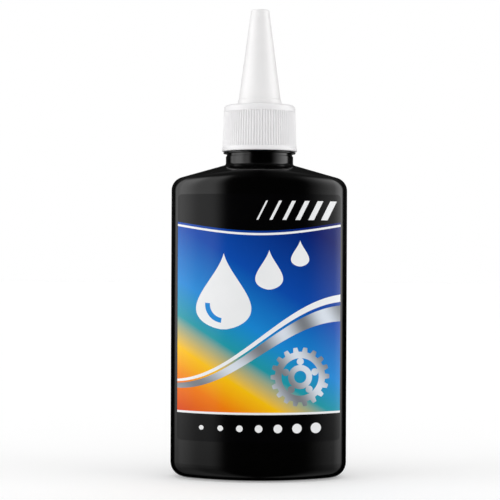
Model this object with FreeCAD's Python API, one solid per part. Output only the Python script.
"""Squeeze bottle for bicycle chain oil, as separate solids.

A flat oval bottle with sloping shoulders carries a film label on its front. A ribbed collar
screws onto the neck over a foam liner. The collar's deck rises into a hollow post with a long
valve stem, and a conical spout twists up the post until its orifice leaves the stem's plug.

Millimetres, +Z up, origin on the table under the middle of the base, label facing -Y.
"""

import FreeCAD
import Part
import math
import os

# Bottle body: a flat oval in plan, straight walls, roof sloping up to the neck.
BODY_WIDTH = 58.5
BODY_DEPTH = 31.0
SIDE_RADIUS = 10.0          # plan radius of the two narrow sides
WALL = 1.1
HEEL_RADIUS = 5.0           # round edge between wall and base
SHOULDER_HEIGHT = 98.55     # where wall and roof would meet on the narrow sides
SHOULDER_RISE = 5.1         # from there up to the foot of the neck
SHOULDER_ARCH = 1.8         # how much higher they meet in the middle of the broad faces
SHOULDER_RADIUS = 4.5       # round edge between wall and roof
STAND_WIDTH = 1.8           # flat rim that the bottle stands on
PUSH_UP_HEIGHT = 1.4        # hollow of the base inside that rim
PUSH_UP_SLOPE = 1.2         # how far the hollow's side leans in

# Neck: a plain cylinder, a groove, a bead, then the screw finish with its mouth.
NECK_RADIUS = 11.2
NECK_ROOT_RADIUS = 0.8      # hollow round edge between roof and neck
NECK_HEIGHT = 4.15          # foot of the neck to the top of the bead
BEAD_RADIUS = 12.0
BEAD_HEIGHT = 0.4
GROOVE_HEIGHT = 0.9
GROOVE_DEPTH = 0.3
FINISH_RADIUS = 9.75        # root of the screw thread
FINISH_HEIGHT = 13.2        # top of the bead to the lip
FINISH_WALL = 1.95
LIP_RADIUS = 0.4            # round edges of the lip
THREAD_DEPTH = 1.05         # room that the screw thread takes up outside its root
THREAD_CLEARANCE = 0.2

# Front label: printed film stuck to the front face.
LABEL_FILM = 0.1
LABEL_GLUE = 0.05
LABEL_SIDE_MARGIN = 2.45    # label edge to the silhouette of the body, seen from the front
LABEL_FOOT_MARGIN = 8.1     # top of the heel to the label
LABEL_HEAD_MARGIN = 4.95    # label to the shoulder
LABEL_CORNER = 1.2

# Liner: foam washer between the lip and the collar's deck.
LINER_THICKNESS = 1.0
LINER_CLEARANCE = 0.3

# Collar: skirt with a smooth foot band and fluted grip, domed deck.
SKIRT_GAP = 0.3             # bead to the lower edge of the skirt
BAND_RADIUS = 12.5
BAND_HEIGHT = 1.3
GRIP_RADIUS = 12.3          # rib crests at the foot of the grip
GRIP_DRAFT = 0.45           # how much narrower the grip is at its top
GRIP_TOP_MARGIN = 2.6       # top of the flutes to the top of the deck
GRIP_FOOT_MARGIN = 0.2      # foot band to the lower end of the flutes
RIB_COUNT = 84
FLUTE_WIDTH = 0.6           # V-shaped groove between two ribs, across its mouth
FLUTE_DEPTH = 0.4
DECK_THICKNESS = 1.8        # at the spout's seat
DECK_FALL = 0.5             # how far the dome falls from that seat to the corner
DECK_CORNER = 1.0           # round outer corner of the deck
SEAT_MARGIN = 0.3           # flat seat beyond the spout's foot
BAND_EDGE = 0.3             # round lower edge, and sloping upper edge, of the foot band

# Post and valve stem: they stand on the deck, inside the spout.
POST_RADIUS = 4.6
POST_BORE = 3.4
POST_LAND = 1.3             # plain top of the post above its stop bead
STOP_HEIGHT = 1.0
STOP_CLEARANCE = 0.1
BRIDGE_WIDTH = 1.1          # crossed ribs that carry the stem in the bore
BRIDGE_HEIGHT = 2.4
STEM_ROOT_RADIUS = 1.5
PLUG_CLEARANCE = 0.05
PLUG_RECESS = 0.1           # top of the plug below the spout's tip

# Spout: hollow cone that rises on the post.
SPOUT_GAP = 0.1             # foot above its seat
SPOUT_HEIGHT = 31.4
SPOUT_FOOT_RADIUS = 7.15
SPOUT_TIP_RADIUS = 3.0
SPOUT_WALL = 1.3
SPOUT_BEAD = 0.15           # how far the foot bead stands out
SPOUT_BEAD_HEIGHT = 1.6
SPOUT_LIP = 1.2             # inner lip that runs on the post and meets the stop
SPOUT_TRAVEL = 2.6
RUNNING_CLEARANCE = 0.1
TWIST_DEPTH = 0.5           # room for the twist thread between post and spout
ORIFICE_RADIUS = 1.0
ORIFICE_LENGTH = 1.8
TIP_EDGE = 0.35

# Heights that follow from the stack of pieces.
NECK_FOOT = SHOULDER_HEIGHT + SHOULDER_RISE
BEAD_TOP = NECK_FOOT + NECK_HEIGHT
LIP_TOP = BEAD_TOP + FINISH_HEIGHT
DECK_FLOOR = LIP_TOP + LINER_THICKNESS
DECK_TOP = DECK_FLOOR + DECK_THICKNESS
SKIRT_FOOT = BEAD_TOP + SKIRT_GAP
POST_TOP = DECK_TOP + SPOUT_GAP + SPOUT_LIP + SPOUT_TRAVEL + STOP_CLEARANCE + STOP_HEIGHT + POST_LAND
SPOUT_FOOT = DECK_TOP + SPOUT_GAP
SPOUT_TIP = SPOUT_FOOT + SPOUT_HEIGHT

# Radii that follow from the fits.
MOUTH_RADIUS = FINISH_RADIUS - FINISH_WALL
SKIRT_BORE = FINISH_RADIUS + THREAD_DEPTH + THREAD_CLEARANCE
SPOUT_BORE = POST_RADIUS + TWIST_DEPTH + RUNNING_CLEARANCE
STOP_RADIUS = SPOUT_BORE - RUNNING_CLEARANCE
LIP_BORE = POST_RADIUS + RUNNING_CLEARANCE
PLUG_RADIUS = ORIFICE_RADIUS - PLUG_CLEARANCE

UP = FreeCAD.Vector(0, 0, 1)
ORIGIN = FreeCAD.Vector(0, 0, 0)
NEAR = 0.01                 # two places closer than this are the same


def oval(half_width, half_depth, side_radius, height):
    """Closed outline of four tangent arcs: two broad faces and two narrow sides."""
    side_centre = half_width - side_radius
    face_radius = half_depth + (side_centre ** 2 - (half_depth - side_radius) ** 2) / (
        2 * (half_depth - side_radius))
    face_centre = face_radius - half_depth
    centre_distance = face_radius - side_radius
    join_x = face_radius * side_centre / centre_distance
    join_y = side_radius * face_centre / centre_distance

    def point(x, y):
        return FreeCAD.Vector(x, y, height)

    front = Part.Arc(point(-join_x, -join_y), point(0, -half_depth), point(join_x, -join_y))
    right = Part.Arc(point(join_x, -join_y), point(half_width, 0), point(join_x, join_y))
    back = Part.Arc(point(join_x, join_y), point(0, half_depth), point(-join_x, join_y))
    left = Part.Arc(point(-join_x, join_y), point(-half_width, 0), point(-join_x, -join_y))
    return Part.Wire([arc.toShape() for arc in (front, right, back, left)])


def body_oval(inset, height):
    """The body's outline in plan, moved inwards by an inset."""
    return oval(BODY_WIDTH / 2 - inset, BODY_DEPTH / 2 - inset, SIDE_RADIUS - inset, height)


def turned(points):
    """Solid of revolution about the Z axis from a closed outline of (radius, height) points."""
    corners = [FreeCAD.Vector(radius, 0, height) for radius, height in points]
    outline = Part.makePolygon(corners + corners[:1])
    return Part.Face(outline).revolve(ORIGIN, UP, 360)


def rounded(solid, amount, places):
    """Round the circular edges that lie at the given (radius, height) places."""
    def lies_there(edge):
        if not isinstance(edge.Curve, Part.Circle):
            return False
        return any(abs(edge.Curve.Radius - radius) < NEAR and abs(edge.Curve.Center.z - height) < NEAR
                   for radius, height in places)

    return solid.makeFillet(amount, [edge for edge in solid.Edges if lies_there(edge)])


def edges_between(solid, low, high):
    """Edges that lie wholly between two heights."""
    return [edge for edge in solid.Edges
            if edge.BoundBox.ZMin > low - NEAR and edge.BoundBox.ZMax < high + NEAR]


def two_halves(curve):
    """Closed outline of a circle or ellipse, split where it meets the YZ plane."""
    quarter = math.pi / 2
    return Part.Wire([curve.toShape(quarter, 3 * quarter), curve.toShape(3 * quarter, 5 * quarter)])


def roof_cone(inset, drop):
    """Cone from the foot of the neck down by a drop, steeper towards the broad faces."""
    neck_radius = NECK_RADIUS - inset
    top = NECK_FOOT - inset
    side_slope = SHOULDER_RISE / (BODY_WIDTH / 2 - NECK_RADIUS)
    face_slope = (SHOULDER_RISE - SHOULDER_ARCH) / (BODY_DEPTH / 2 - NECK_RADIUS)
    eaves = Part.Ellipse(UP * (top - drop), neck_radius + drop / side_slope, neck_radius + drop / face_slope)
    neck = Part.Circle(UP * top, UP, neck_radius)
    return Part.makeLoft([two_halves(eaves), two_halves(neck)], True, True)


def push_up(inset):
    """Shallow hollow of the base, grown on all sides by an inset."""
    rim = HEEL_RADIUS + STAND_WIDTH - inset
    mouth = body_oval(rim, 0)
    crown = body_oval(rim + PUSH_UP_SLOPE, PUSH_UP_HEIGHT + inset)
    return Part.makeLoft([mouth, crown], True, True)


def body_form(inset):
    """Filled form of the body below the neck, shrunk on all sides by an inset."""
    top = NECK_FOOT - inset
    drop = 2 * SHOULDER_RISE
    column = Part.Face(body_oval(inset, inset)).extrude(UP * (top - drop - inset))
    head = Part.Face(body_oval(inset, top - drop)).extrude(UP * drop).common(roof_cone(inset, drop))
    form = column.fuse(head).removeSplitter()
    shoulder_low = top - SHOULDER_RISE
    shoulder = edges_between(form, shoulder_low, shoulder_low + SHOULDER_ARCH)
    form = form.makeFillet(SHOULDER_RADIUS - inset, shoulder)
    form = form.makeFillet(HEEL_RADIUS - inset, edges_between(form, inset, inset))
    return form.cut(push_up(inset))


def neck_form():
    """Filled form of the neck with its groove, bead and screw finish."""
    bead_foot = BEAD_TOP - BEAD_HEIGHT
    groove_foot = bead_foot - GROOVE_HEIGHT
    groove_radius = NECK_RADIUS - GROOVE_DEPTH
    neck = turned([
        (0, NECK_FOOT - SHOULDER_RADIUS),
        (NECK_RADIUS, NECK_FOOT - SHOULDER_RADIUS),
        (NECK_RADIUS, groove_foot),
        (groove_radius, groove_foot),
        (groove_radius, bead_foot),
        (BEAD_RADIUS, bead_foot),
        (BEAD_RADIUS, BEAD_TOP),
        (FINISH_RADIUS, BEAD_TOP),
        (FINISH_RADIUS, LIP_TOP),
        (0, LIP_TOP),
    ])
    bead_edge = BEAD_HEIGHT / 3
    neck = rounded(neck, bead_edge, [(BEAD_RADIUS, bead_foot), (BEAD_RADIUS, BEAD_TOP)])
    return rounded(neck, LIP_RADIUS, [(FINISH_RADIUS, LIP_TOP)])


def mouth_form():
    """Filled form of the way through the neck: wide below, narrower in the finish."""
    neck_bore = NECK_RADIUS - WALL
    cone_foot = BEAD_TOP - (neck_bore - MOUTH_RADIUS)
    return turned([
        (0, NECK_FOOT - WALL - SHOULDER_RADIUS),
        (neck_bore, NECK_FOOT - WALL - SHOULDER_RADIUS),
        (neck_bore, cone_foot),
        (MOUTH_RADIUS, BEAD_TOP),
        (MOUTH_RADIUS, LIP_TOP + LIP_RADIUS),
        (0, LIP_TOP + LIP_RADIUS),
    ])


def bottle():
    """Hollow bottle: body and neck in one wall."""
    outside = body_form(0).fuse(neck_form()).removeSplitter()
    root = [edge for edge in edges_between(outside, NECK_FOOT, NECK_FOOT)
            if isinstance(edge.Curve, Part.Circle)]
    outside = outside.makeFillet(NECK_ROOT_RADIUS, root)
    shell = outside.cut(body_form(WALL).fuse(mouth_form()))
    return rounded(shell, LIP_RADIUS, [(MOUTH_RADIUS, LIP_TOP)])


def label_window():
    """Front view of the label, a rectangle with round corners, as a block through the front."""
    half_width = BODY_WIDTH / 2 - LABEL_SIDE_MARGIN
    low = HEEL_RADIUS + LABEL_FOOT_MARGIN
    height = SHOULDER_HEIGHT - LABEL_HEAD_MARGIN - low
    block = Part.makeBox(2 * half_width, BODY_DEPTH, height, FreeCAD.Vector(-half_width, -BODY_DEPTH, low))
    corners = [edge for edge in block.Edges if edge.BoundBox.YLength > BODY_DEPTH - NEAR]
    return block.makeFillet(LABEL_CORNER, corners)


def front_label():
    """Film that follows the front wall outside a layer of glue."""
    outer = Part.Face(body_oval(-LABEL_GLUE - LABEL_FILM, 0)).extrude(UP * SHOULDER_HEIGHT)
    inner = Part.Face(body_oval(-LABEL_GLUE, 0)).extrude(UP * SHOULDER_HEIGHT)
    return outer.cut(inner).common(label_window())


def seal_liner():
    """Foam washer on the lip, inside the skirt, open under the post's bore."""
    outer = SKIRT_BORE - LINER_CLEARANCE
    inner = POST_BORE + LINER_CLEARANCE
    return turned([(inner, LIP_TOP), (outer, LIP_TOP), (outer, DECK_FLOOR), (inner, DECK_FLOOR)])


def collar_shell():
    """Turned form of the collar: skirt, deck and hollow post with its stop bead."""
    grip_foot = SKIRT_FOOT + BAND_HEIGHT
    corner_radius = GRIP_RADIUS - GRIP_DRAFT
    corner_height = DECK_TOP - DECK_FALL
    seat = SPOUT_FOOT_RADIUS + SPOUT_BEAD + SEAT_MARGIN
    stop_top = POST_TOP - POST_LAND
    stop_foot = stop_top - STOP_HEIGHT
    shell = turned([
        (SKIRT_BORE, SKIRT_FOOT),
        (BAND_RADIUS, SKIRT_FOOT),
        (BAND_RADIUS, grip_foot - BAND_EDGE),
        (GRIP_RADIUS, grip_foot),
        (corner_radius, corner_height),
        (seat, DECK_TOP),
        (POST_RADIUS, DECK_TOP),
        (POST_RADIUS, stop_foot),
        (STOP_RADIUS, stop_foot),
        (STOP_RADIUS, stop_top),
        (POST_RADIUS, stop_top),
        (POST_RADIUS, POST_TOP),
        (POST_BORE, POST_TOP),
        (POST_BORE, DECK_FLOOR),
        (SKIRT_BORE, DECK_FLOOR),
    ])
    shell = rounded(shell, DECK_CORNER, [(corner_radius, corner_height)])
    return rounded(shell, BAND_EDGE, [(BAND_RADIUS, SKIRT_FOOT)])


def flutes():
    """V-shaped grooves between the ribs of the grip, leaning in with its draft."""
    grip_foot = SKIRT_FOOT + BAND_HEIGHT
    foot = grip_foot + GRIP_FOOT_MARGIN
    top = DECK_TOP - GRIP_TOP_MARGIN
    lean = GRIP_DRAFT / (DECK_TOP - DECK_FALL - grip_foot)
    crest = GRIP_RADIUS - lean * GRIP_FOOT_MARGIN
    root = FreeCAD.Vector(crest - FLUTE_DEPTH, 0, foot)
    left = FreeCAD.Vector(crest + FLUTE_DEPTH, FLUTE_WIDTH, foot)
    right = FreeCAD.Vector(crest + FLUTE_DEPTH, -FLUTE_WIDTH, foot)
    wedge = Part.Face(Part.makePolygon([root, right, left, root]))
    flute = wedge.extrude(FreeCAD.Vector(-lean, 0, 1) * (top - foot))
    turned_flutes = []
    for index in range(RIB_COUNT):
        copy = flute.copy()
        copy.rotate(ORIGIN, UP, 360 * index / RIB_COUNT)
        turned_flutes.append(copy)
    return turned_flutes


def valve_stem():
    """Crossed ribs in the post's bore, a tapered stem and the plug that shuts the orifice."""
    bridge_foot = POST_TOP - BRIDGE_HEIGHT
    span = POST_BORE + POST_RADIUS
    rib = Part.makeBox(span, BRIDGE_WIDTH, BRIDGE_HEIGHT,
                       FreeCAD.Vector(-span / 2, -BRIDGE_WIDTH / 2, bridge_foot))
    cross_rib = rib.copy()
    cross_rib.rotate(ORIGIN, UP, 90)
    plug_foot = SPOUT_TIP - ORIFICE_LENGTH - SPOUT_TRAVEL
    stem = turned([
        (0, bridge_foot),
        (STEM_ROOT_RADIUS, bridge_foot),
        (STEM_ROOT_RADIUS, POST_TOP),
        (PLUG_RADIUS, plug_foot),
        (PLUG_RADIUS, SPOUT_TIP - PLUG_RECESS),
        (0, SPOUT_TIP - PLUG_RECESS),
    ])
    return stem.fuse([rib, cross_rib])


def collar():
    """Ribbed collar with its deck, post and valve stem, moulded in one piece."""
    return collar_shell().cut(flutes()).fuse(valve_stem()).removeSplitter()


def cone_radius(height):
    """Outer radius of the spout's cone at a height above its foot."""
    return SPOUT_FOOT_RADIUS + (SPOUT_TIP_RADIUS - SPOUT_FOOT_RADIUS) * height / SPOUT_HEIGHT


def spout():
    """Hollow cone with a foot bead, an inner lip, a bore over the post and an orifice."""
    bore_height = POST_TOP + POST_LAND - SPOUT_FOOT
    web_height = SPOUT_HEIGHT - ORIFICE_LENGTH
    solid = turned([
        (LIP_BORE, SPOUT_FOOT),
        (SPOUT_FOOT_RADIUS + SPOUT_BEAD, SPOUT_FOOT),
        (cone_radius(SPOUT_BEAD_HEIGHT) + SPOUT_BEAD, SPOUT_FOOT + SPOUT_BEAD_HEIGHT),
        (cone_radius(SPOUT_BEAD_HEIGHT), SPOUT_FOOT + SPOUT_BEAD_HEIGHT),
        (SPOUT_TIP_RADIUS, SPOUT_TIP),
        (ORIFICE_RADIUS, SPOUT_TIP),
        (ORIFICE_RADIUS, SPOUT_TIP - ORIFICE_LENGTH),
        (cone_radius(web_height) - SPOUT_WALL, SPOUT_FOOT + web_height),
        (cone_radius(bore_height) - SPOUT_WALL, SPOUT_FOOT + bore_height),
        (SPOUT_BORE, SPOUT_FOOT + bore_height),
        (SPOUT_BORE, SPOUT_FOOT + SPOUT_LIP),
        (LIP_BORE, SPOUT_FOOT + SPOUT_LIP),
    ])
    return rounded(solid, TIP_EDGE, [(SPOUT_TIP_RADIUS, SPOUT_TIP)])


def main():
    os.makedirs("parts", exist_ok=True)
    for make in (bottle, front_label, seal_liner, collar, spout):
        make().exportStep(f"parts/{make.__name__}.step")


main()
